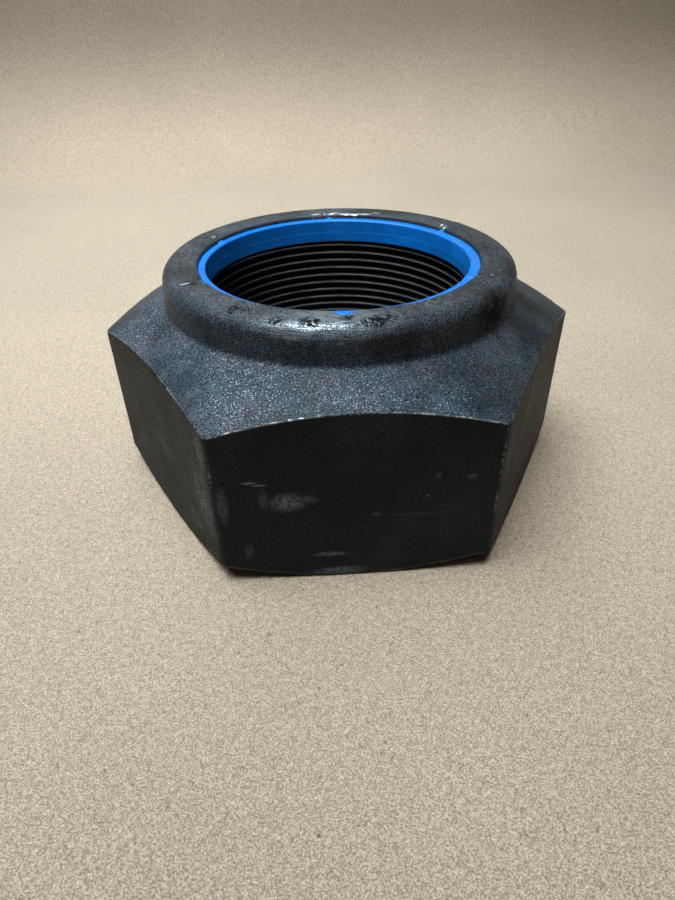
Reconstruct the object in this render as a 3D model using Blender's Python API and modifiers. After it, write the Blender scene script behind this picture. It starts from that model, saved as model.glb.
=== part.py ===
"""Heavy hex lock nut with a captive nylon locking ring, M45 x 1.5, 70 mm across flats.

Metres, +Z up. The origin is the centre of the bearing face, +Z points at the collar that
holds the locking ring, one flat faces -Y, and two corners lie on the X axis.
"""

import math

import bmesh
import bpy

# Hexagon
ACROSS_FLATS = 0.0700
HEX_HEIGHT = 0.0326             # bearing face to the crease where the collar starts
CORNER_RADIUS = 0.0008          # rounding of the six upright edges
TOP_SLOPE = math.radians(28.2)  # cone that runs from the crease down to the corners
FOOT_SLOPE = math.radians(30.0)  # cone that clears the corners off the seat
FOOT_INSET = 0.0003             # how far inside the flats the bearing circle lies

# Thread
THREAD_DIAMETER = 0.0450
THREAD_PITCH = 0.0015
THREAD_HALF_ANGLE = math.radians(30.0)
COUNTERSINK_WIDTH = 0.0010      # radial width of the lead-in at the bearing face

# Locking ring
RING_BITE = 0.0010              # how far the ring's bore is inside the thread diameter
RING_NECK_WALL = 0.0012         # wall of the neck that stands in the lip's opening
RING_FLANGE_WIDTH = 0.0022      # how far the flange reaches under the lip
RING_FLANGE_HEIGHT = 0.0028
RING_EDGE = 0.0003              # bevel on the ring's upper inner edge
RING_RECESS = 0.0005            # how far the neck's top lies below the lip's edge

# Collar
COLLAR_WALL = 0.0034
SEAT_RISE = 0.0007              # the ring's seat lies this far above the crease
COLLAR_DRAFT = 0.0003           # how much narrower the collar is where its roll starts
ROLL_RADIUS = 0.0030
CREASE_RADIUS = 0.0008
LIP_THICKNESS = 0.0015
LIP_DROP = 0.0003               # how far the lip's edge lies below the collar's top
LIP_SLOPE_WIDTH = 0.0010        # radial width over which the lip slopes down

# Stakes: notches punched in the lip, each filled by a nub of the ring
STAKE_COUNT = 6
STAKE_RADIUS = 0.0012
STAKE_OFFSET = 0.0001           # stake axis outside the lip's opening
NUB_DROP = 0.0001               # how far a nub's top lies below the lip's edge

CLEARANCE = 0.0003
MARGIN = 0.0020                 # how far a cutter runs past what it cuts
TURN_STEPS = 60
ROLL_STEPS = 6
CREASE_STEPS = 3
THREAD_STEPS = 30
STAKE_CORNERS = 14
WELD_DISTANCE = 1e-6

SIDES = 6
HALF_FLATS = ACROSS_FLATS / 2
HALF_CORNERS = HALF_FLATS / math.cos(math.pi / SIDES)
THREAD_RADIUS = THREAD_DIAMETER / 2
THREAD_HEIGHT = THREAD_PITCH / 2 / math.tan(THREAD_HALF_ANGLE)
BORE_RADIUS = THREAD_RADIUS - THREAD_HEIGHT * 5 / 8

RING_BORE_RADIUS = THREAD_RADIUS - RING_BITE
RING_NECK_RADIUS = RING_BORE_RADIUS + RING_NECK_WALL
LIP_RADIUS = RING_NECK_RADIUS + CLEARANCE
RING_FLANGE_RADIUS = LIP_RADIUS + RING_FLANGE_WIDTH
POCKET_RADIUS = RING_FLANGE_RADIUS + CLEARANCE
COLLAR_RADIUS = POCKET_RADIUS + COLLAR_WALL

SEAT_HEIGHT = HEX_HEIGHT + SEAT_RISE   # top of the thread, which the ring lies on
RING_FOOT = SEAT_HEIGHT + CLEARANCE
RING_FLANGE_TOP = RING_FOOT + RING_FLANGE_HEIGHT
LIP_UNDERSIDE = RING_FLANGE_TOP + CLEARANCE
LIP_TOP = LIP_UNDERSIDE + LIP_THICKNESS
NUT_HEIGHT = LIP_TOP + LIP_DROP
RING_TOP = LIP_TOP - RING_RECESS


def clear_scene():
    for thing in list(bpy.data.objects):
        bpy.data.objects.remove(thing, do_unlink=True)


def new_collection(name):
    collection = bpy.data.collections.new(name)
    bpy.context.scene.collection.children.link(collection)
    return collection


def new_material(name, colour, roughness, metallic):
    material = bpy.data.materials.new(name)
    material.use_nodes = True
    shader = material.node_tree.nodes["Principled BSDF"]
    shader.inputs["Base Color"].default_value = (*colour, 1.0)
    shader.inputs["Roughness"].default_value = roughness
    shader.inputs["Metallic"].default_value = metallic
    return material


def arc(centre, radius, start, end, steps):
    """Points of an arc in the XZ plane, its ends included, with angles in degrees."""
    points = []
    for step in range(steps + 1):
        angle = math.radians(start + (end - start) * step / steps)
        points.append((centre[0] + radius * math.cos(angle), centre[1] + radius * math.sin(angle)))
    return points


def fillet(before, corner, after, radius, steps):
    """Points of the arc that rounds the corner of the path before, corner, after."""
    into = math.atan2(before[1] - corner[1], before[0] - corner[0])
    out = math.atan2(after[1] - corner[1], after[0] - corner[0])
    opening = (out - into + math.pi) % (2 * math.pi) - math.pi
    middle = into + opening / 2
    reach = radius / math.sin(abs(opening) / 2)
    centre = (corner[0] + reach * math.cos(middle), corner[1] + reach * math.sin(middle))
    turn = math.copysign(math.pi - abs(opening), -opening)
    start = middle + math.pi - turn / 2
    return [
        (
            centre[0] + radius * math.cos(start + turn * step / steps),
            centre[1] + radius * math.sin(start + turn * step / steps),
        )
        for step in range(steps + 1)
    ]


def profile_object(name, points, collection, closed=True):
    """An outline in the XZ plane, from (radius, height) points."""
    mesh = bpy.data.meshes.new(name)
    edges = [(i, i + 1) for i in range(len(points) - 1)]
    if closed:
        edges.append((len(points) - 1, 0))
    mesh.from_pydata([(radius, 0.0, height) for radius, height in points], edges, [])
    thing = bpy.data.objects.new(name, mesh)
    collection.objects.link(thing)
    return thing


def add_screw(thing, steps, turns=1, rise=0.0):
    screw = thing.modifiers.new("Turn", "SCREW")
    screw.axis = "Z"
    screw.angle = math.tau
    screw.screw_offset = rise
    screw.iterations = turns
    screw.steps = screw.render_steps = steps
    screw.use_normal_calculate = False
    return thing


def turned(name, points, steps, collection):
    """A ring turned from a closed outline that runs down its outer side."""
    return add_screw(profile_object(name, points, collection), steps)


def add_boolean(thing, cutter, operation, solver="EXACT"):
    boolean = thing.modifiers.new(operation.title(), "BOOLEAN")
    boolean.operation = operation
    boolean.solver = solver
    boolean.object = cutter


def finish(thing, material, sharp_angle=math.radians(20.0)):
    """Turns the object's modifiers into a plain mesh, with its material and smooth shading."""
    bpy.context.view_layer.update()
    evaluated = thing.evaluated_get(bpy.context.evaluated_depsgraph_get())
    mesh = bpy.data.meshes.new_from_object(evaluated)
    thing.modifiers.clear()
    thing.data = mesh
    mesh.name = thing.name
    mesh.materials.clear()
    mesh.materials.append(material)
    mesh.shade_smooth()
    mesh.set_sharp_from_angle(angle=sharp_angle)


def move_to(thing, collection):
    for owner in list(thing.users_collection):
        owner.objects.unlink(thing)
    collection.objects.link(thing)


def upright_cylinder(name, radius, bottom, top, corners, collection, centre=(0.0, 0.0), turn=0.0):
    bpy.ops.mesh.primitive_cylinder_add(
        vertices=corners,
        radius=radius,
        depth=top - bottom,
        location=(centre[0], centre[1], (top + bottom) / 2),
        rotation=(0.0, 0.0, turn),
    )
    thing = bpy.context.object
    thing.name = name
    move_to(thing, collection)
    return thing


def hexagon(collection):
    """The forged hexagon, taller than the nut, with its upright edges rounded."""
    prism = upright_cylinder(
        "hexagon", HALF_CORNERS, -3 * MARGIN, NUT_HEIGHT + 3 * MARGIN, SIDES, collection, turn=math.pi / 6
    )
    bevel = prism.modifiers.new("Corners", "BEVEL")
    bevel.width = CORNER_RADIUS * math.tan(math.pi / SIDES)
    bevel.segments = 3
    return prism


def envelope_outline():
    """Outside of the nut as turned: rolled lip, collar, crease, top cone, foot cone, seat."""
    corner_radius = HALF_CORNERS + MARGIN
    roll_start = COLLAR_RADIUS - COLLAR_DRAFT
    crease = (COLLAR_RADIUS, HEX_HEIGHT)
    cone_end = (corner_radius, HEX_HEIGHT - (corner_radius - COLLAR_RADIUS) * math.tan(TOP_SLOPE))
    bearing_radius = HALF_FLATS - FOOT_INSET
    foot_end = (corner_radius, (corner_radius - bearing_radius) * math.tan(FOOT_SLOPE))
    inside = BORE_RADIUS - MARGIN
    roll = arc((roll_start - ROLL_RADIUS, NUT_HEIGHT - ROLL_RADIUS), ROLL_RADIUS, 90, 0, ROLL_STEPS)
    outline = [(inside, LIP_TOP), (LIP_RADIUS, LIP_TOP), (LIP_RADIUS + LIP_SLOPE_WIDTH, NUT_HEIGHT)]
    outline += roll
    outline += fillet(roll[-1], crease, cone_end, CREASE_RADIUS, CREASE_STEPS)
    outline += [cone_end, foot_end, (bearing_radius, 0.0), (inside, 0.0)]
    return outline


def pocket_outline():
    """The seat of the locking ring and the opening of the lip above it."""
    inside = BORE_RADIUS - 2 * MARGIN
    top = NUT_HEIGHT + MARGIN
    return [
        (inside, top),
        (LIP_RADIUS, top),
        (LIP_RADIUS, LIP_UNDERSIDE),
        (POCKET_RADIUS, LIP_UNDERSIDE),
        (POCKET_RADIUS, SEAT_HEIGHT),
        (inside, SEAT_HEIGHT),
    ]


def countersink_outline():
    """The lead-in that opens the thread out at the bearing face."""
    inside = BORE_RADIUS - 2 * MARGIN
    mouth = THREAD_RADIUS + COUNTERSINK_WIDTH
    return [(inside, mouth - inside), (mouth + MARGIN, -MARGIN), (inside, -MARGIN)]


def thread_outline():
    """One pitch of the tap: crest flat, upper flank, root flat and lower flank, top to bottom."""
    crest_flat = THREAD_PITCH / 4
    flank = (THREAD_RADIUS - BORE_RADIUS) * math.tan(THREAD_HALF_ANGLE)
    return [
        (BORE_RADIUS, THREAD_PITCH),
        (BORE_RADIUS, THREAD_PITCH - crest_flat),
        (THREAD_RADIUS, THREAD_PITCH - crest_flat - flank),
        (THREAD_RADIUS, flank),
        (BORE_RADIUS, 0.0),
    ]


def tap(collection):
    """The threaded hole as a solid: a right-hand helix that runs out past both its ends."""
    cutter = profile_object("tap", thread_outline(), collection, closed=False)
    turns = math.ceil((SEAT_HEIGHT + MARGIN) / THREAD_PITCH) + 2
    add_screw(cutter, THREAD_STEPS, turns, THREAD_PITCH)
    bpy.context.view_layer.update()
    evaluated = cutter.evaluated_get(bpy.context.evaluated_depsgraph_get())
    mesh = bpy.data.meshes.new_from_object(evaluated)
    cutter.modifiers.clear()
    cutter.data = mesh
    surface = bmesh.new()
    surface.from_mesh(mesh)
    bmesh.ops.remove_doubles(surface, verts=surface.verts, dist=WELD_DISTANCE)
    rims = [edge for edge in surface.edges if edge.is_boundary]
    ends = bmesh.ops.holes_fill(surface, edges=rims, sides=0)["faces"]
    bmesh.ops.poke(surface, faces=ends)
    bmesh.ops.recalc_face_normals(surface, faces=surface.faces)
    surface.to_mesh(mesh)
    surface.free()
    cutter.location.z = -2 * THREAD_PITCH
    return cutter


def ring_outline():
    """The ring's section: a flange under the lip and a neck that fills the lip's opening."""
    return [
        (RING_BORE_RADIUS, RING_TOP - RING_EDGE),
        (RING_BORE_RADIUS + RING_EDGE, RING_TOP),
        (RING_NECK_RADIUS, RING_TOP),
        (RING_NECK_RADIUS, RING_FLANGE_TOP),
        (RING_FLANGE_RADIUS, RING_FLANGE_TOP),
        (RING_FLANGE_RADIUS, RING_FOOT),
        (RING_BORE_RADIUS, RING_FOOT),
    ]


def stake_places():
    """Number, centre and direction of each stake: one at the middle of each flat."""
    reach = LIP_RADIUS + STAKE_OFFSET
    for stake in range(STAKE_COUNT):
        angle = math.tau * (stake + 0.5) / STAKE_COUNT
        yield stake + 1, (reach * math.cos(angle), reach * math.sin(angle)), angle


def build_nut_body(parts, cutters):
    body = turned("nut_body", envelope_outline(), TURN_STEPS, parts)
    add_boolean(body, hexagon(cutters), "INTERSECT")
    add_boolean(body, turned("ring_pocket", pocket_outline(), TURN_STEPS, cutters), "DIFFERENCE")
    add_boolean(body, turned("countersink", countersink_outline(), TURN_STEPS, cutters), "DIFFERENCE")
    for number, centre, angle in stake_places():
        notch = upright_cylinder(
            f"stake_notch_{number}", STAKE_RADIUS, LIP_UNDERSIDE - CLEARANCE / 2, NUT_HEIGHT + MARGIN,
            STAKE_CORNERS, cutters, centre, angle,
        )
        add_boolean(body, notch, "DIFFERENCE", "MANIFOLD")
    add_boolean(body, tap(cutters), "DIFFERENCE", "MANIFOLD")
    finish(body, new_material("phosphated_steel", (0.035, 0.036, 0.037), 0.55, 0.9))
    return body


def build_nylon_ring(parts, cutters):
    ring = turned("nylon_ring", ring_outline(), TURN_STEPS, parts)
    for number, centre, angle in stake_places():
        nub = upright_cylinder(
            f"stake_nub_{number}", STAKE_RADIUS - CLEARANCE, RING_FLANGE_TOP - CLEARANCE, LIP_TOP - NUB_DROP,
            STAKE_CORNERS, cutters, centre, angle,
        )
        add_boolean(ring, nub, "UNION", "MANIFOLD")
    finish(ring, new_material("blue_nylon", (0.01, 0.15, 0.62), 0.35, 0.0))
    return ring


def main():
    clear_scene()
    parts = new_collection("hex_lock_nut")
    cutters = new_collection("cutters")
    build_nut_body(parts, cutters)
    build_nylon_ring(parts, cutters)
    for cutter in cutters.objects:
        cutter.hide_render = True
        cutter.display_type = "WIRE"


main()
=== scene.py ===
import math

import bpy
from mathutils import Matrix, Vector, noise


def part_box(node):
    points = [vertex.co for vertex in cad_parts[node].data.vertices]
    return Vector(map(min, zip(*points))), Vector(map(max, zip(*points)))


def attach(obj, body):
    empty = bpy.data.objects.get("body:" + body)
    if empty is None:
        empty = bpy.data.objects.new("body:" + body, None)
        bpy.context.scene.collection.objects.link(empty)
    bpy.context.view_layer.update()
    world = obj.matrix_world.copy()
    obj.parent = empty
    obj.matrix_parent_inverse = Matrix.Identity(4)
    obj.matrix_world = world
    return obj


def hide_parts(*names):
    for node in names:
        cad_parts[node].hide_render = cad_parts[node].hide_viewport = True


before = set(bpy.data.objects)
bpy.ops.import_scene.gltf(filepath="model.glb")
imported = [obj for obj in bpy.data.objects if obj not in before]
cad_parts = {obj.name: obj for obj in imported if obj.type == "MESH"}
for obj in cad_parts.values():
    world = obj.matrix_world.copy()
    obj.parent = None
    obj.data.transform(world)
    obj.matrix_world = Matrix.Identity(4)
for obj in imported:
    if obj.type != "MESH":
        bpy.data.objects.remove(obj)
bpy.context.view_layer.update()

# ------------------------------------------------------------------------------------------
# The body: one forging in medium carbon steel, turned to its two cones, its collar and the seat
# of the ring, then phosphated nearly black and oiled. The collar's lip is rolled in over the
# ring and staked at six places, and handling has worn the edges and marked the flats.
# ------------------------------------------------------------------------------------------
body_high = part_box("nut_body")[1]
ring_low, ring_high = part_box("nylon_ring")

SIDES = 6
HALF_FLATS = body_high.y
NUT_TOP = body_high.z
CORNER_RADIUS = 0.0014
CREASE_HEIGHT = ring_low.z - 0.0010
COLLAR_RADIUS = ring_high.x + 0.0037
TOP_SLOPE = math.tan(math.radians(28.2))
FOOT_SLOPE = math.tan(math.radians(30.0))
BEARING_RADIUS = HALF_FLATS - 0.0003
THREAD_RADIUS = 0.0225
MOUTH_RADIUS = THREAD_RADIUS + 0.0010
SEAT_HEIGHT = ring_low.z - 0.0003
POCKET_RADIUS = ring_high.x + 0.0003
LIP_TOP = NUT_TOP - 0.0003
LIP_UNDERSIDE = LIP_TOP - 0.0015
LIP_RADIUS = 0.0230
LIP_SLOPE_WIDTH = 0.0010
ROLL_RADIUS = 0.0030
COLLAR_DRAFT = 0.0003

# Each stake sits near the middle of a flat, a few degrees out, as the punch happened to land:
# degrees out, depth of the notch in the lip, half its width, and how deep the punch sank beyond it.
STAKES = [
    (2.0, 0.0004, 0.0006, 0.00025),
    (1.0, 0.0002, 0.0007, 0.00012),
    (2.0, 0.0002, 0.0011, 0.00015),
    (-6.0, 0.0004, 0.0010, 0.00035),
    (-2.0, 0.0009, 0.0013, 0.00035),
    (1.0, 0.0005, 0.0008, 0.00022),
]
PUNCH_SPREAD = 1.6              # the mark round a notch, in widths of the notch

# One deep nick in the left edge of the top cone, and how far its damage spreads along the edge.
NICK_PLACE = Vector((-0.02819, -0.02117, 0.02974))
NICK_DIRECTION = Vector((0.5, -0.866, 0.0))
NICK_LENGTH = 0.0021
NICK_WIDTH = 0.0011
NICK_DEPTH = 0.00042
NICK_SPREAD = 0.016

FORGED_WAVE = 0.00004           # how far the forged outside waves in and out
BITE_DEPTH = 0.00028            # the deepest of the small knocks in the edges

# Half of each flat, in degrees from its corner: where the columns at the corner end and where
# those at the stake begin, and the number of columns in each of the three stretches.
CORNER_END = 2.2
STAKE_START = 24.0
COLUMN_COUNTS = (9, 26, 18)


def angle_between(first, second):
    """The turn from the second angle to the first, the short way round."""
    return (first - second + math.pi) % math.tau - math.pi


def from_corner(angle):
    """How far this angle is from the nearest corner of the hexagon."""
    return abs(angle_between(angle, round(angle / (math.pi / 3)) * math.pi / 3))


def hexagon_reach(angle):
    """Distance from the axis to the hexagon's outside, with its corners rounded."""
    off_corner = from_corner(angle)
    centre = (HALF_FLATS - CORNER_RADIUS) / math.cos(math.pi / SIDES)
    touch = math.atan2(
        CORNER_RADIUS * math.sin(math.pi / SIDES),
        centre + CORNER_RADIUS * math.cos(math.pi / SIDES),
    )
    if off_corner < touch:
        return centre * math.cos(off_corner) + math.sqrt(
            CORNER_RADIUS**2 - (centre * math.sin(off_corner)) ** 2
        )
    return HALF_FLATS / math.cos(math.pi / SIDES - off_corner)


def at_stake(angle):
    """Depth of the notch and sink of the punch mark at this angle, and how near its middle it is."""
    for number, (out, depth, half_width, sink) in enumerate(STAKES):
        turn = angle_between(angle, math.radians(30.0 + 60.0 * number + out))
        across = abs(LIP_RADIUS * turn) / half_width
        if across < PUNCH_SPREAD:
            inner = max(0.0, 1.0 - across**2)
            outer = max(0.0, 1.0 - (across / PUNCH_SPREAD) ** 2)
            return depth * inner**0.8, sink * outer, inner
    return 0.0, 0.0, 0.0


def lip_reach(angle):
    """Radius of the lip's inner edge: round, a little uneven, and notched at the stakes."""
    around = Vector((math.cos(angle), math.sin(angle), 0.0))
    uneven = 0.00006 * noise.noise(around * 9.0) + 0.00003 * noise.noise(around * 40.0)
    return LIP_RADIUS + uneven + at_stake(angle)[0]


def round_corners(corners):
    """Points of a closed outline. A corner is (radius, height, rounding, arc steps, steps to next)."""
    points = []
    for index, (across, height, rounding, arc_steps, _) in enumerate(corners):
        here = Vector((across, height))
        before = Vector(corners[index - 1][:2]) - here
        after = Vector(corners[(index + 1) % len(corners)][:2]) - here
        half = before.angle(after) / 2
        tangent = min(rounding / math.tan(half), before.length * 0.45, after.length * 0.45)
        start, end = before.normalized() * tangent, after.normalized() * tangent
        middle = (start + end).normalized() * (tangent / math.cos(half))
        swing = math.pi - 2 * half
        for step in range(arc_steps + 1):
            share = step / arc_steps
            from_start = (start - middle) * math.sin((1 - share) * swing)
            spoke = from_start + (end - middle) * math.sin(share * swing)
            points.append(here + middle + spoke / math.sin(swing))
    outline = []
    first = 0
    for index, (_, _, _, arc_steps, run_steps) in enumerate(corners):
        arc = points[first:first + arc_steps + 1]
        first += arc_steps + 1
        leave, arrive = arc[-1], points[first % len(points)]
        outline += arc
        for step in range(1, run_steps):
            share = (1 - math.cos(math.pi * step / run_steps)) / 2
            outline.append(leave.lerp(arrive, share))
    return outline


BODY_ZONES = (
    "lip", "rim", "roll", "crease", "shoulder", "foot", "bearing", "mouth", "bore", "seat", "pocket",
    "ceiling", "neck",
)


def body_corners(angle):
    """Corners of the body's section at this angle, from the lip down the outside and back up."""
    hexagon = hexagon_reach(angle)
    lip = lip_reach(angle)
    sink = at_stake(angle)[1]
    return [
        (lip, LIP_TOP - sink, 0.00030, 4, 4),
        (lip + LIP_SLOPE_WIDTH + sink, NUT_TOP, 0.00100, 4, 5),
        (COLLAR_RADIUS - COLLAR_DRAFT, NUT_TOP, ROLL_RADIUS, 12, 4),
        (COLLAR_RADIUS, CREASE_HEIGHT, 0.00080, 5, 14),
        (hexagon, CREASE_HEIGHT - (hexagon - COLLAR_RADIUS) * TOP_SLOPE, 0.00022, 4, 24),
        (hexagon, (hexagon - BEARING_RADIUS) * FOOT_SLOPE, 0.00025, 3, 6),
        (BEARING_RADIUS, 0.0, 0.00030, 2, 8),
        (MOUTH_RADIUS, 0.0, 0.00015, 2, 3),
        (THREAD_RADIUS, MOUTH_RADIUS - THREAD_RADIUS, 0.00015, 2, 12),
        (THREAD_RADIUS, SEAT_HEIGHT, 0.00010, 2, 3),
        (POCKET_RADIUS, SEAT_HEIGHT, 0.00010, 2, 3),
        (POCKET_RADIUS, LIP_UNDERSIDE, 0.00020, 2, 3),
        (lip, LIP_UNDERSIDE, 0.00015, 2, 2),
    ]


def column_angles():
    """Angles of the mesh's columns: close together at the corners and the stakes."""
    halves = []
    limits = (0.0, CORNER_END, STAKE_START, 30.0)
    for start, end, count in zip(limits, limits[1:], COLUMN_COUNTS):
        halves += [math.radians(start + (end - start) * step / count) for step in range(count)]
    sixth = halves + [math.pi / 3 - angle for angle in reversed([*halves[1:], math.pi / 6])]
    return [side * math.pi / 3 + angle for side in range(SIDES) for angle in sixth]


def closed_rings(name, outlines, angles):
    """A closed mesh from one closed outline, of equal length, at each angle round the Z axis."""
    rows = len(outlines[0])
    columns = len(outlines)
    points = []
    for outline, angle in zip(outlines, angles):
        points += [(r * math.cos(angle), r * math.sin(angle), z) for r, z in outline]
    faces = []
    for column in range(columns):
        here, there = column * rows, (column + 1) % columns * rows
        for row in range(rows):
            up = (row + 1) % rows
            faces.append((here + row, here + up, there + up, there + row))
    mesh = bpy.data.meshes.new(name)
    mesh.from_pydata(points, [], faces)
    mesh.shade_smooth()
    piece = bpy.data.objects.new(name, mesh)
    bpy.context.scene.collection.objects.link(piece)
    return piece


def zone_rows(corners, zones):
    """For each row of an outline, its corner's zone, and how far round the corner's arc, or -1."""
    rows = []
    for zone, (_, _, _, arc_steps, run_steps) in zip(zones, corners):
        rows += [(zone, step / arc_steps) for step in range(arc_steps + 1)]
        rows += [(zone, -1.0)] * (run_steps - 1)
    return rows


def add_attribute(piece, name, values):
    """Gives every point of a piece a number that its material can read."""
    piece.data.attributes.new(name, "FLOAT", "POINT").data.foreach_set("value", values)


def fall_off(distance, reach):
    """1 at no distance, falling smoothly to a third at the reach and to nothing past twice that."""
    return math.exp(-((distance / reach) ** 2))


columns = column_angles()
body_outlines = [round_corners(body_corners(angle)) for angle in columns]
body = closed_rings("forged_body", body_outlines, columns)
body_rows = zone_rows(body_corners(0.0), BODY_ZONES)

# What the material reads at each point: how near it is to a worn edge, and whether it lies on a flat of the
# hexagon, on the rolled rim, or on the collar's wall, which the material darkens as painted shade.
edge_values, flat_values, roll_values, wall_values = [], [], [], []
for angle in columns:
    at_corner = fall_off(from_corner(angle), math.radians(1.1))
    staked = at_stake(angle)[2] ** 0.5
    for zone, share in body_rows:
        on_arc = share >= 0.0
        on_flat = zone == "shoulder" and not on_arc
        worn = {"shoulder": 0.85, "foot": 0.7, "lip": 0.45 + 0.55 * staked, "mouth": 0.6}
        edge_values.append(worn.get(zone, 0.0) if on_arc else 0.6 * at_corner * on_flat)
        flat_values.append(float(on_flat))
        roll = {"lip": 1.0, "rim": 1.0, "roll": 1.0 - share if on_arc else 0.0}
        roll_values.append(roll.get(zone, 0.0))
        wall = {"roll": share if on_arc else 1.0, "crease": 1.0 - share if on_arc else 0.0}
        wall_values.append(wall.get(zone, 0.0))
add_attribute(body, "edge", edge_values)
add_attribute(body, "wall", wall_values)
add_attribute(body, "flat", flat_values)
add_attribute(body, "roll", roll_values)

# Forging leaves the outside faintly wavy, and knocks have bitten into its edges, all inwards.
body_points = [(point.co.copy(), point.normal.copy()) for point in body.data.vertices]
moved = []
for index, (place, normal) in enumerate(body_points):
    zone = body_rows[index % len(body_rows)][0]
    inward = 0.0
    if zone in ("roll", "crease", "shoulder", "foot", "rim"):
        inward += FORGED_WAVE * (0.5 + 0.5 * noise.noise(place * 90.0))
        if edge_values[index] > 0.3:
            bites = max(0.0, noise.noise(place * 520.0 + Vector((3.0, 1.0, 2.0))) - 0.05)
            knocked = 1.0 + 1.2 * fall_off((place - NICK_PLACE).length, NICK_SPREAD)
            inward += BITE_DEPTH * bites * edge_values[index] * knocked
        nick = place - NICK_PLACE
        along = nick.dot(NICK_DIRECTION)
        across = max(0.0, nick.length**2 - along**2) ** 0.5
        inward += NICK_DEPTH * fall_off(math.hypot(along / NICK_LENGTH, across / NICK_WIDTH), 1.0)
    moved.extend(place - normal * inward)
body.data.vertices.foreach_set("co", moved)
body.data.update()


# Node building. A value is another node's output socket or a plain number, vector or colour.
def feed(tree, node, inputs):
    """Links or sets a node's inputs, given by name or number."""
    for name, value in inputs.items():
        if isinstance(value, bpy.types.NodeSocket):
            tree.links.new(value, node.inputs[name])
        else:
            node.inputs[name].default_value = value


def add_node(tree, kind, inputs=None, output=0, **settings):
    """Adds one node and returns one of its output sockets."""
    node = tree.nodes.new(kind)
    for setting, value in settings.items():
        setattr(node, setting, value)
    feed(tree, node, inputs or {})
    return node.outputs[output]


def calculate(tree, operation, *values):
    return add_node(tree, "ShaderNodeMath", dict(enumerate(values)), operation=operation)


def multiply(tree, *factors):
    product = factors[0]
    for factor in factors[1:]:
        product = calculate(tree, "MULTIPLY", product, factor)
    return product


def strongest(tree, masks):
    found = masks[0]
    for mask in masks[1:]:
        found = calculate(tree, "MAXIMUM", found, mask)
    return found


def move(tree, operation, *values, output="Vector"):
    return add_node(tree, "ShaderNodeVectorMath", dict(enumerate(values)), output, operation=operation)


def scale_by(tree, vector, factor):
    """A vector or a colour multiplied by one factor that varies over the surface."""
    return add_node(tree, "ShaderNodeVectorMath", {0: vector, "Scale": factor}, operation="SCALE")


def surface_place(tree):
    return add_node(tree, "ShaderNodeTexCoord", output="Object")


def axis_distance(tree, place):
    return move(tree, "LENGTH", move(tree, "MULTIPLY", place, (1.0, 1.0, 0.0)), output="Value")


def height_of(tree, place):
    return move(tree, "DOT_PRODUCT", place, (0.0, 0.0, 1.0), output="Value")


def step_up(tree, value, low, high, bottom=0.0, top=1.0):
    """A smooth step from bottom to top as the value goes from low to high."""
    limits = {"Value": value, "From Min": low, "From Max": high, "To Min": bottom, "To Max": top}
    return add_node(tree, "ShaderNodeMapRange", limits, interpolation_type="SMOOTHSTEP")


def cloud(tree, place, scale, detail=2.0, roughness=0.5):
    """Soft noise that varies from about 0.3 to 0.7."""
    inputs = {"Vector": place, "Scale": scale, "Detail": detail, "Roughness": roughness}
    return add_node(tree, "ShaderNodeTexNoise", inputs)


def patch(tree, place, centre, half_size, turn=0.0, soft=0.5):
    """A mask that is 1 inside an ellipsoid at this place, turned about Z, and fades out at its rim."""
    offset = move(tree, "SUBTRACT", place, centre)
    if turn:
        turned = {"Vector": offset, "Angle": turn}
        offset = add_node(tree, "ShaderNodeVectorRotate", turned, rotation_type="Z_AXIS")
    shrunk = move(tree, "DIVIDE", offset, half_size)
    return step_up(tree, move(tree, "LENGTH", shrunk, output="Value"), 1.0 + soft, 1.0 - soft)


def blend_colour(tree, share, first, second):
    """The first colour, and the second in its place where the share is 1."""
    first, second = ((*colour, 1.0) if isinstance(colour, tuple) else colour for colour in (first, second))
    return add_node(tree, "ShaderNodeMix", {0: share, 6: first, 7: second}, 2, data_type="RGBA")


def bump(tree, height, strength):
    return add_node(tree, "ShaderNodeBump", {"Height": height, "Strength": strength, "Distance": 1.0})


def attribute(tree, name):
    return add_node(tree, "ShaderNodeAttribute", output="Fac", attribute_name=name)


def new_group(name, inputs, outputs):
    """A shader node group of number sockets, with its tree, its inputs inside and its outputs inside."""
    group = bpy.data.node_groups.new(name, "ShaderNodeTree")
    for socket, value in inputs.items():
        made = group.interface.new_socket(socket, in_out="INPUT", socket_type="NodeSocketFloat")
        made.default_value = value
    for socket in outputs:
        group.interface.new_socket(socket, in_out="OUTPUT", socket_type="NodeSocketFloat")
    return group, group.nodes.new("NodeGroupInput").outputs, group.nodes.new("NodeGroupOutput")


def place_group(tree, group, inputs):
    """Places a node group and returns its outputs."""
    return add_node(tree, "ShaderNodeGroup", inputs, node_tree=group).node.outputs


def new_material(name):
    """A material, with its node tree and its Principled shader."""
    material = bpy.data.materials.new(name)
    material.use_nodes = True
    return material, material.node_tree, material.node_tree.nodes["Principled BSDF"]


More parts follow.
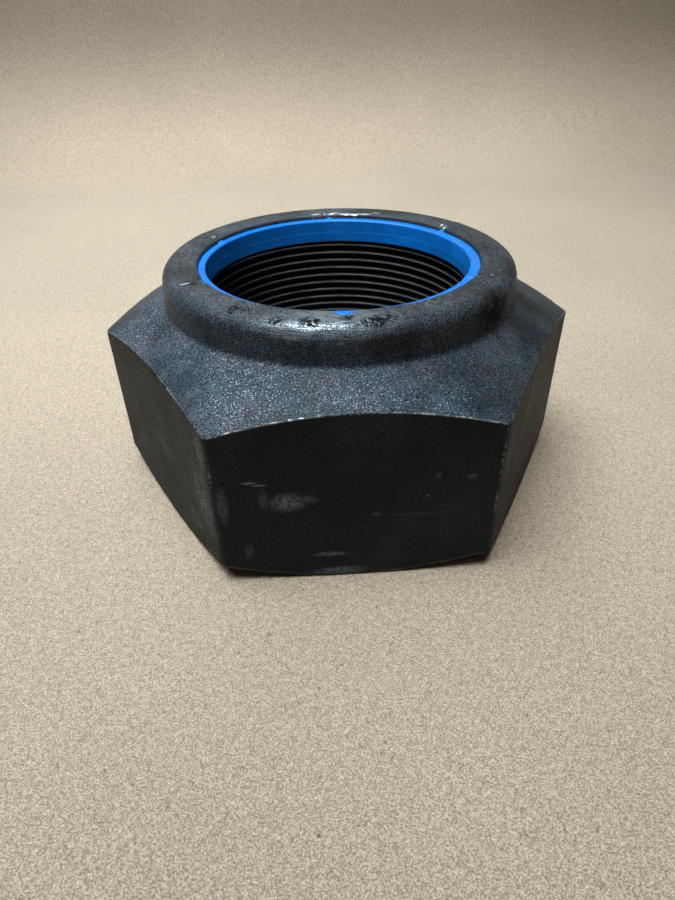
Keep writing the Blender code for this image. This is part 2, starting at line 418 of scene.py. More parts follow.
def build_grain_group():
    """Blasted and phosphated steel: its crystals, its fine and broad shades, and its grit marks."""
    outputs = ["Crystals", "Shade", "Height", "Mottle"]
    group, given, result = new_group("steel_grain", {"Grain Size": 0.0002, "Crystal Share": 0.2}, outputs)
    place = surface_place(group)
    scale = calculate(group, "DIVIDE", 1.0, given["Grain Size"])
    fine = cloud(group, place, scale, 2.0, 0.6)
    broad = cloud(group, place, 700.0, 3.0, 0.6)
    cell_inputs = {"Vector": place, "Scale": multiply(group, scale, 0.8)}
    cells = add_node(group, "ShaderNodeTexVoronoi", cell_inputs).node.outputs
    pick = move(group, "DOT_PRODUCT", cells["Color"], (1.0, 0.0, 0.0), output="Value")
    strength = move(group, "DOT_PRODUCT", cells["Color"], (0.0, 1.0, 0.0), output="Value")
    left_dull = calculate(group, "SUBTRACT", 1.0, given["Crystal Share"])
    chosen = calculate(group, "GREATER_THAN", pick, left_dull)
    core = step_up(group, cells["Distance"], 0.45, 0.20)
    feed(
        group, result,
        {
            "Crystals": multiply(group, chosen, core, strength),
            "Shade": step_up(group, fine, 0.34, 0.66),
            "Height": calculate(group, "ADD", fine, broad),
            "Mottle": cloud(group, place, 150.0, 4.0, 0.6),
        },
    )
    return group


def build_wear_group():
    """Where an edge has lost its coat: all along it, broken up finely."""
    group, given, result = new_group("worn_edge", {"Edge": 0.0, "Wear": 0.5}, ["Worn", "Bare"])
    place = surface_place(group)
    broken = step_up(group, cloud(group, place, 1500.0, 4.0, 0.65), 0.36, 0.64, 0.0, 0.55)
    slow = step_up(group, cloud(group, place, 130.0, 2.0, 0.5), 0.35, 0.65, 0.0, 0.55)
    chance = calculate(group, "ADD", calculate(group, "ADD", broken, slow), given["Wear"])
    chance = multiply(group, chance, step_up(group, given["Edge"], 0.0, 0.8))
    worn = step_up(group, chance, 0.80, 1.15)
    bare = step_up(group, chance, 1.32, 1.45)
    feed(group, result, {"Worn": worn, "Bare": bare})
    return group


grain_group = build_grain_group()
wear_group = build_wear_group()

# The phosphate coat, on the cones, the rolled rim and the flats.
COAT_TOP = (0.032, 0.046, 0.060)
COAT_PURPLE = (0.044, 0.047, 0.060)
COAT_DARKER = (0.019, 0.022, 0.023)
COAT_ROLLED = (0.052, 0.050, 0.047)
COAT_SIDE = (0.0034, 0.0054, 0.0076)
COAT_SCUFFED = (0.0105, 0.0130, 0.0150)
# The crystals' pale colour stands in for their sparkle in the light: a painted glint.
CRYSTAL_GLINT = (0.56, 0.64, 0.70)
# What has happened to it since.
BURNISHED = (0.50, 0.56, 0.61)
WORN_COAT = (0.120, 0.127, 0.132)
BARE_STEEL = (0.55, 0.56, 0.57)
SCUFF = (0.24, 0.26, 0.27)
DUST = (0.115, 0.125, 0.130)
RUST = (0.010, 0.0062, 0.0040)
RUST_STREAK = (0.110, 0.085, 0.050)
PIT_BLACK = (0.0015, 0.0013, 0.0012)

# How far the outlines of stains and of small marks wander.
RAGGED_REACH = 0.0022
SLIGHT_REACH = 0.0006
# Depths of relief too fine for the mesh: grit marks on the cones and on the flats, the rolling
# tool's rings, and the rust pits.
GRIT_DEPTHS = (0.00007, 0.00011)
ROLLED_DEPTH = 0.000012
PIT_DEPTH = 0.00016
# Half the thickness of a mark on the front flat, measured into the steel.
MARK_REACH = 0.004

# Smudges of dried oil and dust on the front flat, then fine scratches in it:
# distance across, height, half width, half height, strength.
SMUDGES = [
    (-0.0099, 0.0151, 0.0021, 0.0014, 1.0),
    (-0.0074, 0.0154, 0.0016, 0.0007, 0.5),
    (-0.0132, 0.0157, 0.0007, 0.0016, 0.4),
    (-0.0190, 0.0150, 0.0007, 0.0028, 0.5),
    (-0.0161, 0.0062, 0.0006, 0.0014, 0.35),
    (-0.0042, 0.0047, 0.0021, 0.0004, 0.9),
    (-0.0027, 0.0011, 0.0034, 0.0007, 1.0),
    (0.0160, 0.0181, 0.0006, 0.0004, 0.5),
    (0.0112, 0.0186, 0.0004, 0.0005, 0.4),
    (0.0027, 0.0121, 0.0006, 0.0003, 0.5),
]
SCRATCHES = [
    (-0.0150, 0.0189, 0.0009, 0.00022, 0.9),
    (-0.0136, 0.0184, 0.0009, 0.00018, 0.8),
    (0.0080, 0.0118, 0.0070, 0.00006, 0.30),
    (0.0100, 0.0150, 0.00015, 0.00015, 1.0),
    (0.0028, 0.0100, 0.0045, 0.00005, 0.22),
]
# Fuzzy scuffs beside the front left corner: centre, half size and strength.
CORNER_SCUFFS = [
    ((-0.0222, -0.0315, 0.0140), (0.0020, 0.0030, 0.0050), 0.55),
    ((-0.0213, -0.0330, 0.0230), (0.0010, 0.0014, 0.0030), 0.50),
    ((-0.0248, -0.0270, 0.0065), (0.0022, 0.0034, 0.0018), 0.35),
    ((-0.0300, -0.0180, 0.0150), (0.0030, 0.0040, 0.0010), 0.25),
]
# The middle and half size of the right flat, down which rust has run.
RIGHT_FLAT = ((0.0303, -0.0175, 0.0140), (0.013, 0.020, 0.020))
# Where the painted glints crowd, a painted highlight on the front and left of the top cone: centre and half
# size.
GLINT_HIGHLIGHTS = [
    ((-0.0015, -0.0325, 0.0305), (0.0060, 0.0035, 0.0030)),
    ((-0.0125, -0.0300, 0.0300), (0.0060, 0.0040, 0.0030)),
    ((-0.0330, -0.0080, 0.0300), (0.0040, 0.0060, 0.0030)),
]
# Where the coat is darker, on the right of the top cone.
DARK_RIGHT_PATCHES = [
    ((0.0330, -0.0140, 0.0290), (0.0150, 0.0170, 0.0150)),
    ((0.0290, 0.0190, 0.0290), (0.0120, 0.0120, 0.0150)),
    ((0.0240, -0.0280, 0.0290), (0.0100, 0.0090, 0.0120)),
]
# Rust stains on the collar: azimuth and lift in degrees, half size and strength.
STAINS = [
    (316.0, 10.0, (0.0036, 0.0036, 0.0026), 1.0),
    (278.0, 2.0, (0.0042, 0.0024, 0.0016), 0.5),
    (268.5, 80.0, (0.0011, 0.0009, 0.0008), 1.0),
    (206.5, 92.0, (0.0011, 0.0008, 0.0008), 0.9),
]
# Clusters of rust pits in the rolled rim: azimuth and lift in degrees, and half width.
PIT_CLUSTERS = [
    (249.0, 55.0, 0.0010),
    (256.5, 66.0, 0.0008),
    (259.0, 62.0, 0.0011),
    (274.0, 56.0, 0.0011),
    (277.0, 61.0, 0.0013),
    (280.5, 69.0, 0.0011),
    (233.5, 71.0, 0.0010),
    (237.5, 77.0, 0.0007),
    (311.0, 62.0, 0.0005),
]
# Small spots where the stakes and knocks have bared the steel:
# azimuth, radius, half width along and across.
BARE_SPOTS = [
    (152.5, 0.0242, 0.0005, 0.00026),
    (34.0, 0.0239, 0.0003, 0.00040),
    (32.0, 0.0238, 0.0002, 0.00030),
    (93.0, 0.0235, 0.0002, 0.00030),
    (330.0, 0.0255, 0.0003, 0.00015),
    (206.0, 0.0262, 0.0002, 0.00080),
    (97.0, 0.0236, 0.0008, 0.00016),
    (89.0, 0.0236, 0.0010, 0.00020),
    (83.5, 0.0233, 0.0012, 0.00022),
    (78.5, 0.0233, 0.0009, 0.00024),
    (74.0, 0.0234, 0.0011, 0.00018),
    (69.0, 0.0240, 0.0009, 0.00016),
]


def on_roll(azimuth, lift):
    """The place on the collar's roll at this azimuth, this many degrees up its curve from the side."""
    centre = COLLAR_RADIUS - COLLAR_DRAFT - ROLL_RADIUS
    reach = centre + ROLL_RADIUS * math.cos(math.radians(lift))
    height = NUT_TOP - ROLL_RADIUS + ROLL_RADIUS * math.sin(math.radians(lift))
    turn = math.radians(azimuth)
    return (reach * math.cos(turn), reach * math.sin(turn), height)


def on_rim(azimuth, radius):
    """The place on top of the rim at this azimuth and distance from the axis."""
    turn = math.radians(azimuth)
    return (radius * math.cos(turn), radius * math.sin(turn), LIP_TOP)


def on_front_flat(marks):
    """Marks on the front flat, each turned into a centre, a half size and a strength."""
    return [
        ((across, -HALF_FLATS, height), (half_width, MARK_REACH, half_height), strength)
        for across, height, half_width, half_height, strength in marks
    ]


def marks_mask(tree, place, marks, soft):
    """The strongest of several marks, each a centre, a half size and a strength."""
    masks = []
    for centre, size, strength in marks:
        masks.append(multiply(tree, patch(tree, place, centre, size, soft=soft), strength))
    return strongest(tree, masks)


def coat_colour(tree, place, ragged, grain, flat, roll, wall):
    """The coat: blue-grey where it was blasted, with its crystals painted pale as painted glints; blacker
    on the flats, and darkened on the collar's wall as painted shade.
    """
    purple = step_up(tree, cloud(tree, place, 160.0, 2.0), 0.4, 0.6)
    coat = blend_colour(tree, purple, COAT_TOP, COAT_PURPLE)
    # Painted shade: the collar's wall is darkened towards the flats' black, and below it gets fewer glints.
    coat = blend_colour(tree, multiply(tree, wall, 0.42), coat, COAT_SIDE)
    coat = blend_colour(tree, multiply(tree, roll, 0.5), coat, COAT_ROLLED)
    side = step_up(tree, cloud(tree, place, 55.0, 4.0, 0.6), 0.45, 0.70)
    side = blend_colour(tree, side, COAT_SIDE, COAT_SCUFFED)
    coat = blend_colour(tree, flat, coat, side)

    top = calculate(tree, "SUBTRACT", 1.0, flat)
    # Darker patches on the right of the top cone.
    dark_patches = [patch(tree, place, centre, size, soft=0.9) for centre, size in DARK_RIGHT_PATCHES]
    darker = multiply(tree, strongest(tree, dark_patches), top)
    coat = blend_colour(tree, multiply(tree, darker, 0.85), coat, COAT_DARKER)
    shade = step_up(tree, grain["Mottle"], 0.30, 0.70, 0.60, 1.40)
    shade = multiply(tree, shade, step_up(tree, grain["Shade"], 0.0, 1.0, 0.10, 2.10))
    coat = scale_by(tree, coat, shade)

    # Painted highlight: more painted glints where the light's highlight falls on the top cone, fewer where
    # the coat is darker.
    glint_share = step_up(tree, cloud(tree, place, 75.0, 3.0, 0.5), 0.36, 0.64, 0.12, 0.75)
    highlight_patches = [patch(tree, ragged, centre, size, soft=0.9) for centre, size in GLINT_HIGHLIGHTS]
    glint_share = calculate(tree, "ADD", glint_share, strongest(tree, highlight_patches))
    glint_share = multiply(tree, glint_share, step_up(tree, darker, 0.0, 1.0, 1.0, 0.35))
    # Painted glints: the crystals are painted pale in place of their sparkle, and fade out on the roll and
    # the wall.
    crystals = multiply(tree, grain["Crystals"], top, glint_share)
    crystals = multiply(tree, crystals, step_up(tree, roll, 0.1, 0.8, 1.0, 0.1))
    crystals = multiply(tree, crystals, step_up(tree, wall, 0.2, 1.0, 1.0, 0.35))
    return blend_colour(tree, crystals, coat, CRYSTAL_GLINT)


def marked_flats(tree, colour, place, ragged, slightly_ragged, flat):
    """The colour with dust, dried oil and scratches on the front flat, scuffs and rust streaks."""
    broken = step_up(tree, cloud(tree, place, 1800.0, 4.0, 0.7), 0.36, 0.58, 0.15, 1.0)
    smudged = multiply(tree, marks_mask(tree, slightly_ragged, on_front_flat(SMUDGES), 0.6), broken)
    scratched = marks_mask(tree, place, on_front_flat(SCRATCHES), 0.6)
    colour = blend_colour(tree, calculate(tree, "MAXIMUM", smudged, scratched), colour, DUST)

    frayed = step_up(tree, cloud(tree, place, 2400.0, 3.0, 0.6), 0.42, 0.60)
    scuffed = multiply(tree, marks_mask(tree, ragged, CORNER_SCUFFS, 0.8), frayed, flat)
    colour = blend_colour(tree, scuffed, colour, SCUFF)

    drawn_out = move(tree, "MULTIPLY", ragged, (500.0, 500.0, 110.0))
    streaked = step_up(tree, cloud(tree, drawn_out, 1.0, 4.0, 0.7), 0.52, 0.66)
    streaked = multiply(tree, streaked, step_up(tree, cloud(tree, place, 120.0), 0.44, 0.60))
    streaked = multiply(tree, streaked, patch(tree, place, *RIGHT_FLAT, soft=0.4), flat)
    return blend_colour(tree, multiply(tree, streaked, 0.6), colour, RUST_STREAK)


def rolled_rings(tree, place):
    """Fine rings that the rolling tool left round the rim, each broken up along its length."""
    across_rings = {
        "X": multiply(tree, axis_distance(tree, place), 6500.0),
        "Y": multiply(tree, height_of(tree, place), 6500.0),
        "Z": move(tree, "DOT_PRODUCT", place, (420.0, 260.0, 0.0), output="Value"),
    }
    return cloud(tree, add_node(tree, "ShaderNodeCombineXYZ", across_rings), 1.0, 3.0, 0.65)


def burnished_front(tree, ragged, rings, grain):
    """A mask of the front of the rolled rim, rubbed bright in streaks along its rings."""
    front = (0.0085, 0.0034, 0.0014)
    front = patch(tree, ragged, on_roll(260.0, 50.0), front, math.radians(-10.0), 0.8)
    burnish = multiply(tree, front, step_up(tree, rings, 0.34, 0.62))
    return multiply(tree, burnish, step_up(tree, grain["Shade"], 0.0, 0.9, 0.35, 1.0))


def rust_pits(tree, place, ragged):
    pits = [
        patch(tree, ragged, on_roll(azimuth, lift), (half_width,) * 3, soft=0.5)
        for azimuth, lift, half_width in PIT_CLUSTERS
    ]
    holes = step_up(tree, cloud(tree, place, 2200.0, 2.0), 0.465, 0.495)
    return multiply(tree, strongest(tree, pits), holes)


def rust_stains(tree, place, ragged):
    stains = [(on_roll(azimuth, lift), size, strength) for azimuth, lift, size, strength in STAINS]
    broken = step_up(tree, cloud(tree, place, 800.0, 5.0, 0.7), 0.34, 0.50, 0.15, 1.0)
    return multiply(tree, marks_mask(tree, ragged, stains, 0.6), broken)


def bare_spots(tree, slightly_ragged):
    spots = []
    for azimuth, radius, along, across in BARE_SPOTS:
        size = (across, along, 0.0009)
        turn = -math.radians(azimuth)
        spots.append(patch(tree, slightly_ragged, on_rim(azimuth, radius), size, turn, 0.4))
    return strongest(tree, spots)


def build_body_material():
    """Phosphated steel: the coat first, then everything that lies on it or has worn it away."""
    material, tree, shader = new_material("phosphated_steel")
    place = surface_place(tree)
    shift = {"Vector": place, "Scale": 900.0, "Detail": 3.0}
    shift = add_node(tree, "ShaderNodeTexNoise", shift, "Color")
    shift = move(tree, "SUBTRACT", shift, (0.5, 0.5, 0.5))
    ragged = move(tree, "ADD", place, scale_by(tree, shift, RAGGED_REACH))
    slightly_ragged = move(tree, "ADD", place, scale_by(tree, shift, SLIGHT_REACH))
    edge, flat, roll, wall = (attribute(tree, name) for name in ("edge", "flat", "roll", "wall"))
    grain = place_group(tree, grain_group, {"Grain Size": 0.00019, "Crystal Share": 0.42})
    wear = place_group(tree, wear_group, {"Edge": edge, "Wear": 0.44})

    rings = rolled_rings(tree, place)
    burnish = burnished_front(tree, ragged, rings, grain)
    pitted = rust_pits(tree, place, ragged)
    stained = rust_stains(tree, place, ragged)
    bare = calculate(tree, "MAXIMUM", wear["Bare"], bare_spots(tree, slightly_ragged))

    colour = coat_colour(tree, place, ragged, grain, flat, roll, wall)
    colour = marked_flats(tree, colour, place, ragged, slightly_ragged, flat)
    colour = blend_colour(tree, multiply(tree, burnish, 0.80), colour, BURNISHED)
    colour = blend_colour(tree, stained, colour, RUST)
    colour = blend_colour(tree, pitted, colour, PIT_BLACK)
    colour = blend_colour(tree, wear["Worn"], colour, WORN_COAT)
    colour = blend_colour(tree, bare, colour, BARE_STEEL)

    # Bare and burnished steel is metallic, rust is rougher, and the rolled rim smoother than the rest.
    rusty = calculate(tree, "MAXIMUM", pitted, stained)
    metal = calculate(tree, "MAXIMUM", bare, multiply(tree, burnish, 0.8))
    metal = multiply(tree, metal, calculate(tree, "SUBTRACT", 1.0, rusty))
    rough = step_up(tree, grain["Mottle"], 0.3, 0.7, 0.42, 0.52)
    rough = calculate(tree, "ADD", rough, step_up(tree, grain["Shade"], 0.0, 1.0, 0.12, -0.10))
    rough = calculate(tree, "ADD", rough, multiply(tree, rusty, 0.45))
    rough = calculate(tree, "ADD", rough, multiply(tree, flat, 0.12))
    rough = calculate(tree, "SUBTRACT", rough, multiply(tree, roll, 0.13))
    rough = calculate(tree, "SUBTRACT", rough, multiply(tree, burnish, 0.08))
    relief = multiply(tree, grain["Height"], step_up(tree, flat, 0.0, 1.0, *GRIT_DEPTHS))
    relief = calculate(tree, "ADD", relief, multiply(tree, rings, roll, ROLLED_DEPTH))
    relief = calculate(tree, "SUBTRACT", relief, multiply(tree, pitted, PIT_DEPTH))
    feed(
        tree, shader,
        {
            "Base Color": colour,
            "Metallic": metal,
            "Roughness": rough,
            "Specular IOR Level": 0.17,
            "Normal": bump(tree, relief, 0.8),
        },
    )
    return material


body.data.materials.append(build_body_material())
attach(body, "root")
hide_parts("nut_body")

# ------------------------------------------------------------------------------------------
# The thread: right hand, M45 x 1.5, cut in the steel of the body before it was phosphated. Its
# crests are rubbed bright by gauging, and its flanks stay black and oily.
# ------------------------------------------------------------------------------------------
THREAD_PITCH = 0.0015
FLANK_ANGLE = math.radians(30.0)
CREST_RADIUS = 0.02169
CREST_WIDTH = THREAD_PITCH / 6
CREST_ROUNDING = 0.00005
RIDGE_SINK = 0.00006
RIDGE_BOTTOM = 0.0010
RIDGE_TURNS = math.floor((SEAT_HEIGHT - 0.0006) / THREAD_PITCH * 4) / 4
RUN_OUT_TURNS = 0.35
STEPS_PER_TURN = 144

FLANK_BLACK = (0.0015, 0.0016, 0.0018)
CREST_BRIGHT = (0.19, 0.20, 0.215)
# Painted shade on the left of the bore, where less light falls, which dims the crests: centre and half
# size.
BORE_LEFT_SHADE = ((-0.0210, 0.0060, 0.0200), (0.0090, 0.0160, 0.0300))


def build_thread_material():
    """Black and greasy, and bright along the crests, which are dimmed on the left of the bore as painted
    shade.
    """
    material, tree, shader = new_material("thread_steel")
    place = surface_place(tree)
    grain = place_group(tree, grain_group, {"Grain Size": 0.0003, "Crystal Share": 0.1})
    crest = axis_distance(tree, place)
    crest = step_up(tree, crest, CREST_RADIUS + CREST_ROUNDING, CREST_RADIUS + 0.2 * CREST_ROUNDING)
    worn = multiply(tree, crest, step_up(tree, cloud(tree, place, 260.0, 4.0), 0.25, 0.60, 0.45, 1.0))
    # Painted shade: the crests are dimmed on the left of the bore.
    worn = multiply(tree, worn, step_up(tree, patch(tree, place, *BORE_LEFT_SHADE, soft=0.8), 0.0, 1.0, 1.0, 0.15))
    feed(
        tree, shader,
        {
            "Base Color": blend_colour(tree, worn, FLANK_BLACK, CREST_BRIGHT),
            "Metallic": multiply(tree, worn, 0.5),
            "Roughness": step_up(tree, grain["Mottle"], 0.3, 0.7, 0.44, 0.56),
            "Specular IOR Level": 0.08,
            "Normal": bump(tree, multiply(tree, grain["Height"], 0.00001), 0.5),
        },
    )
    return material


def build_thread_tree(material):
    """Geometry nodes that sweep one ridge of the thread up a helix and sink its two ends in the wall."""
    tree = bpy.data.node_groups.new("thread_ridge", "GeometryNodeTree")
    tree.interface.new_socket("Geometry", in_out="OUTPUT", socket_type="NodeSocketGeometry")
    sizes = {
        "Root Radius": THREAD_RADIUS + RIDGE_SINK,
        "Crest Radius": CREST_RADIUS,
        "Pitch": THREAD_PITCH,
        "Turns": RIDGE_TURNS,
        "Bottom": RIDGE_BOTTOM,
        "Run Out": RUN_OUT_TURNS,
        "Crest Width": CREST_WIDTH,
        "Crest Rounding": CREST_ROUNDING,
    }
    for name, value in sizes.items():
        socket = tree.interface.new_socket(name, in_out="INPUT", socket_type="NodeSocketFloat")
        socket.default_value = value
    steps = tree.interface.new_socket("Steps per Turn", in_out="INPUT", socket_type="NodeSocketInt")
    steps.default_value = STEPS_PER_TURN
    given = tree.nodes.new("NodeGroupInput").outputs

    depth = calculate(tree, "SUBTRACT", given["Root Radius"], given["Crest Radius"])
    middle = calculate(tree, "SUBTRACT", given["Root Radius"], multiply(tree, depth, 0.5))
    rise = multiply(tree, given["Pitch"], given["Turns"])
    spiral = {
        "Resolution": given["Steps per Turn"],
        "Rotations": given["Turns"],
        "Start Radius": middle,
        "End Radius": middle,
        "Height": rise,
        "Reverse": True,        # makes the helix right-handed
    }
    helix = add_node(tree, "GeometryNodeCurveSpiral", spiral)
    share = add_node(tree, "GeometryNodeSplineParameter")
    from_start = multiply(tree, share, given["Turns"])
    from_end = calculate(tree, "SUBTRACT", given["Turns"], from_start)
    near_end = calculate(tree, "DIVIDE", calculate(tree, "MINIMUM", from_start, from_end), given["Run Out"])
    sink = multiply(tree, step_up(tree, near_end, 0.0, 1.0, 1.0, 0.0), depth)
    here = add_node(tree, "GeometryNodeInputPosition")
    outward = move(tree, "NORMALIZE", move(tree, "MULTIPLY", here, (1.0, 1.0, 0.0)))
    offset = scale_by(tree, outward, sink)
    helix = add_node(tree, "GeometryNodeSetPosition", {"Geometry": helix, "Offset": offset})
    helix = add_node(tree, "GeometryNodeSetCurveNormal", {"Curve": helix}, mode="Z_UP")

    flanks = multiply(tree, depth, 2.0 * math.tan(FLANK_ANGLE))
    trapezoid = {
        "Height": depth,
        "Bottom Width": calculate(tree, "ADD", given["Crest Width"], flanks),
        "Top Width": given["Crest Width"],
        "Offset": 0.0,
    }
    outline = add_node(tree, "GeometryNodeCurvePrimitiveQuadrilateral", trapezoid, mode="TRAPEZOID")
    rounding = {"Curve": outline, "Count": 2, "Radius": given["Crest Rounding"], "Limit Radius": True}
    outline = add_node(tree, "GeometryNodeFilletCurve", rounding, mode="POLY")
    upright = {"Geometry": outline, "Rotation": (0.0, 0.0, math.pi / 2)}
    outline = add_node(tree, "GeometryNodeTransform", upright)
    swept = {"Curve": helix, "Profile Curve": outline, "Fill Caps": True}
    ridge = add_node(tree, "GeometryNodeCurveToMesh", swept)
    lift = add_node(tree, "ShaderNodeCombineXYZ", {"Z": given["Bottom"]})
    ridge = add_node(tree, "GeometryNodeTransform", {"Geometry": ridge, "Translation": lift})
    ridge = add_node(tree, "GeometryNodeRealizeInstances", {"Geometry": ridge})
    ridge = add_node(tree, "GeometryNodeSetMaterial", {"Geometry": ridge, "Material": material})
    tree.links.new(ridge, tree.nodes.new("NodeGroupOutput").inputs["Geometry"])
    return tree


def make_plain(name, tree, sharp_angle):
    """A plain mesh of what a geometry node tree makes."""
    maker = bpy.data.objects.new(name, bpy.data.meshes.new(name))
    bpy.context.scene.collection.objects.link(maker)
    modifier = maker.modifiers.new("Maker", "NODES")
    modifier.node_group = tree
    bpy.context.view_layer.update()
    mesh = bpy.data.meshes.new_from_object(maker.evaluated_get(bpy.context.evaluated_depsgraph_get()))
    maker.modifiers.clear()
    maker.data = mesh
    mesh.name = name
    mesh.shade_smooth()
    mesh.set_sharp_from_angle(angle=sharp_angle)
    return maker


thread = make_plain("thread_ridge", build_thread_tree(build_thread_material()), math.radians(40.0))
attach(thread, "root")
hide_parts("nut_body")

# ------------------------------------------------------------------------------------------
# The locking ring: blue nylon, moulded, with a flange that the lip holds down and a neck that
# stands in the lip's opening. Where the lip is staked, the nylon has flowed out into the notch.
# ------------------------------------------------------------------------------------------
RING_BORE = 0.0215
RING_BORE_SHIFT = -0.00028      # the bore is a little off centre
RING_GAP = 0.00004
RING_TOP = LIP_TOP - 0.0006
FLANGE_TOP = LIP_UNDERSIDE - 0.0003
MOULD_LINE = RING_TOP - 0.0022
MOULD_STEP = 0.00003            # the bore is narrower below the line where the mould parts
MOULD_SLOPE = 0.00008           # half the height of that step

NYLON_DEEP = (0.0020, 0.160, 0.58)
NYLON_LIGHT = (0.0060, 0.190, 0.65)
NYLON_FRAYED = (0.10, 0.16, 0.24)


def ring_corners(angle):
    """Corners of the ring's section at this angle. Its inner edge is cut ragged on the right."""
    around = Vector((math.cos(angle), math.sin(angle), 0.0))
    ragged = max(0.0, math.cos(angle)) ** 4 * max(0.0, noise.noise(around * 40.0) + 0.3)
    bore = RING_BORE + RING_BORE_SHIFT * around.x + 0.00003 * noise.noise(around * 6.0)
    neck = lip_reach(angle) - RING_GAP
    _, sink, staked = at_stake(angle)
    flowed = min(LIP_TOP - 0.5 * sink, ring_high.z)
    edge = RING_TOP + (flowed - RING_TOP) * staked**0.5 * min(1.0, (neck - LIP_RADIUS) / 0.0008 + 0.2)
    return [
        (bore + 0.0005 * ragged, RING_TOP, 0.00028 + 0.0001 * ragged, 4, 4),
        (neck, edge, 0.00012, 3, 3),
        (neck, FLANGE_TOP, 0.00010, 2, 3),
        (ring_high.x, FLANGE_TOP, 0.00030, 3, 3),
        (ring_high.x, ring_low.z, 0.00030, 3, 4),
        (bore - MOULD_STEP, ring_low.z, 0.00015, 2, 6),
        (bore - MOULD_STEP, MOULD_LINE - MOULD_SLOPE, 0.00004, 2, 2),
        (bore, MOULD_LINE + MOULD_SLOPE, 0.00004, 2, 6),
    ]


ring_outlines = [round_corners(ring_corners(angle)) for angle in columns]
ring = closed_rings("nylon_locking_ring", ring_outlines, columns)


def build_nylon_material():
    """Glossy blue nylon, scraped pale in small spots where its inner edge is ragged."""
    material, tree, shader = new_material("blue_nylon")
    place = surface_place(tree)
    slow = step_up(tree, cloud(tree, place, 140.0, 3.0), 0.3, 0.7, 0.88, 1.12)
    colour = blend_colour(tree, cloud(tree, place, 60.0, 2.0), NYLON_DEEP, NYLON_LIGHT)
    colour = scale_by(tree, colour, slow)
    frayed = patch(tree, place, (0.0216, 0.0020, RING_TOP), (0.0016, 0.0085, 0.0012), soft=0.3)
    frayed = multiply(tree, frayed, step_up(tree, cloud(tree, place, 2400.0, 2.0), 0.56, 0.62))
    height = multiply(tree, cloud(tree, place, 1600.0, 3.0, 0.6), 0.00002)
    feed(
        tree, shader,
        {
            "Base Color": blend_colour(tree, frayed, colour, NYLON_FRAYED),
            "Roughness": step_up(tree, cloud(tree, place, 900.0, 3.0), 0.3, 0.7, 0.26, 0.40),
            "Specular IOR Level": 0.40,
            "Subsurface Weight": 0.10,
            "Subsurface Radius": (0.2, 0.6, 1.0),
            "Subsurface Scale": 0.0008,
            "Normal": bump(tree, height, 0.5),
        },
    )
    return material


ring.data.materials.append(build_nylon_material())
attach(ring, "root")
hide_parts("nylon_ring")

# ------------------------------------------------------------------------------------------
# The stage: a pale warm paper cove that rises on all sides, and the camera. One soft cool light
# hangs overhead, one behind the nut, and one lights the paper behind the camera.
# ------------------------------------------------------------------------------------------
COVE_HALF_WIDTH = 0.36
COVE_FRONT = -0.50
COVE_BACK = 0.20
COVE_CORNER = 0.15
COVE_BEND = 0.11
COVE_WALL = 0.62
PAPER_DROP = 0.00004            # keeps the paper clear of the nut's foot
BEND_STEPS = 24
CORNER_STEPS = 16

PAPER_COLOUR = (0.470, 0.354, 0.252)
# Painted shade: the paper is darkened as it rises into the wall, where less light falls.
WALL_SHADE_HEIGHTS = (0.006, 0.070)   # the paper darkens to half between these heights
FIBRE_TURNS = (15.0, 72.0, 131.0)


def build_cove():
    """A floor with rounded corners whose edge bends up into a wall, as rings of points going outwards."""
    middle = (COVE_FRONT + COVE_BACK) / 2
    half_depth = (COVE_BACK - COVE_FRONT) / 2
    rings = []
    for step in range(BEND_STEPS + 1):
        turn = math.radians(90.0) * step / BEND_STEPS
        rings.append((COVE_BEND * math.sin(turn), COVE_BEND * (1.0 - math.cos(turn)) - PAPER_DROP))
    rings.append((COVE_BEND, COVE_WALL))
    rim = []
    for corner, (side, end) in enumerate(((1, 1), (-1, 1), (-1, -1), (1, -1))):
        centre = Vector((side * (COVE_HALF_WIDTH - COVE_CORNER), middle + end * (half_depth - COVE_CORNER)))
        for step in range(CORNER_STEPS + 1):
            turn = math.radians(90.0) * (corner + step / CORNER_STEPS)
            rim.append((centre, Vector((math.cos(turn), math.sin(turn)))))
    count = len(rim)
    points = []
    for outwards, height in rings:
        for centre, direction in rim:
            points.append((*(centre + direction * (COVE_CORNER + outwards)), height))
    faces = [tuple(range(count))]
    for row in range(len(rings) - 1):
        for column in range(count):
            here, beside = row * count + column, row * count + (column + 1) % count
            faces.append((here, here + count, beside + count, beside))
    mesh = bpy.data.meshes.new("paper_cove")
    mesh.from_pydata(points, [], faces)
    mesh.shade_smooth()
    cove = bpy.data.objects.new("paper_cove", mesh)
    bpy.context.scene.collection.objects.link(cove)
    return cove


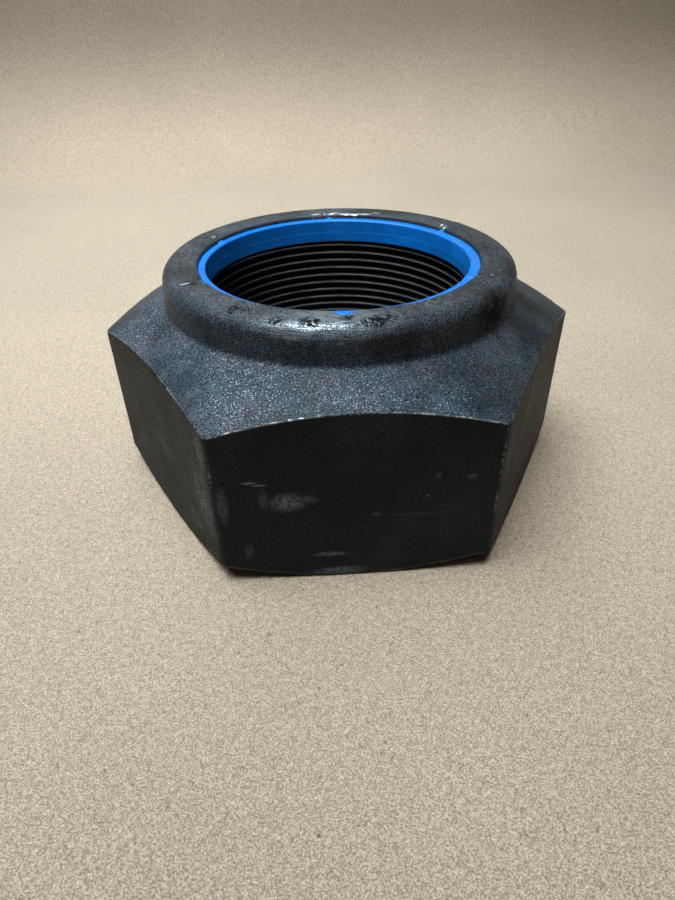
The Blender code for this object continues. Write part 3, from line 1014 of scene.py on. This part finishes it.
def build_paper_material():
    """Pale brown paper: fine pulp, short fibres lying in all directions, and a few dark specks, with
    painted shade darkening it as it rises.
    """
    material, tree, shader = new_material("paper")
    place = surface_place(tree)
    pulp = step_up(tree, cloud(tree, place, 4600.0, 2.0, 0.6), 0.32, 0.68, 0.58, 1.42)
    felt = step_up(tree, cloud(tree, place, 1300.0, 3.0, 0.6), 0.30, 0.70, 0.88, 1.12)
    broad = step_up(tree, cloud(tree, place, 14.0, 3.0, 0.5), 0.30, 0.70, 0.96, 1.04)
    shade = multiply(tree, pulp, felt, broad)
    for turn in FIBRE_TURNS:
        turned = {"Vector": place, "Angle": math.radians(turn)}
        along = add_node(tree, "ShaderNodeVectorRotate", turned, rotation_type="Z_AXIS")
        stretched = move(tree, "MULTIPLY", along, (450.0, 4200.0, 1200.0))
        fibre = step_up(tree, cloud(tree, stretched, 1.0, 1.0, 0.5), 0.63, 0.72, 1.0, 0.76)
        shade = multiply(tree, shade, fibre)
    spots = add_node(tree, "ShaderNodeTexVoronoi", {"Vector": place, "Scale": 230.0}, "Distance")
    specks = step_up(tree, spots, 0.035, 0.060, 0.45, 1.0)
    # Painted shade: darker as the paper rises into the wall.
    wall_shade = step_up(tree, height_of(tree, place), *WALL_SHADE_HEIGHTS, 1.0, 0.50)
    feed(
        tree, shader,
        {
            "Base Color": scale_by(tree, PAPER_COLOUR, multiply(tree, shade, specks, wall_shade)),
            "Roughness": 0.85,
            "Specular IOR Level": 0.2,
            "Sheen Weight": 0.25,
        },
    )
    return material


cove = build_cove()
cove.data.materials.append(build_paper_material())


def add_area_light(name, location, aim, size, power, colour, spread):
    """A soft box at a place, turned towards another, with its width and height and its spread."""
    light = bpy.data.lights.new(name, "AREA")
    light.shape = "RECTANGLE"
    light.size, light.size_y = size
    light.energy = power
    light.color = colour
    light.spread = math.radians(spread)
    lamp = bpy.data.objects.new(name, light)
    lamp.location = location
    lamp.rotation_euler = (Vector(aim) - Vector(location)).to_track_quat("-Z", "Y").to_euler()
    bpy.context.scene.collection.objects.link(lamp)


LIGHTS = [
    ("overhead", (-0.09, -0.04, 0.50), (-0.02, 0.15, 0.0), (0.34, 0.30), 1.20, (0.80, 0.93, 1.0), 80.0),
    ("behind", (-0.04, 0.25, 0.36), (0.0, 0.22, 0.0), (0.60, 0.20), 0.90, (0.76, 0.92, 1.0), 150.0),
    ("front", (0.0, -0.30, 0.42), (0.0, -0.55, 0.0), (0.60, 0.20), 0.40, (0.72, 0.90, 1.0), 110.0),
]
for values in LIGHTS:
    add_area_light(*values)
world = bpy.data.worlds.new("room")
world.use_nodes = True
background = world.node_tree.nodes["Background"]
feed(world.node_tree, background, {"Color": (0.80, 0.90, 1.0, 1.0), "Strength": 0.06})
bpy.context.scene.world = world
bpy.context.scene.view_settings.view_transform = "Standard"

CAMERA_PLACE = Vector((-0.00643, -0.10339, 0.07264))
CAMERA_HEADING = math.radians(3.08)
CAMERA_PITCH = math.radians(35.52)
CAMERA_ROLL = math.radians(-1.15)
CAMERA_LENS = 25.4
SENSOR_WIDTH = 36.0
camera = bpy.data.objects.new("camera", bpy.data.cameras.new("camera"))
camera.data.lens = CAMERA_LENS
camera.data.sensor_width = SENSOR_WIDTH
camera.data.clip_start = 0.005
camera.matrix_world = (
    Matrix.Translation(CAMERA_PLACE)
    @ Matrix.Rotation(-CAMERA_HEADING, 4, "Z")
    @ Matrix.Rotation(math.pi / 2 - CAMERA_PITCH, 4, "X")
    @ Matrix.Rotation(CAMERA_ROLL, 4, "Z")
)
bpy.context.scene.collection.objects.link(camera)
bpy.context.scene.camera = camera
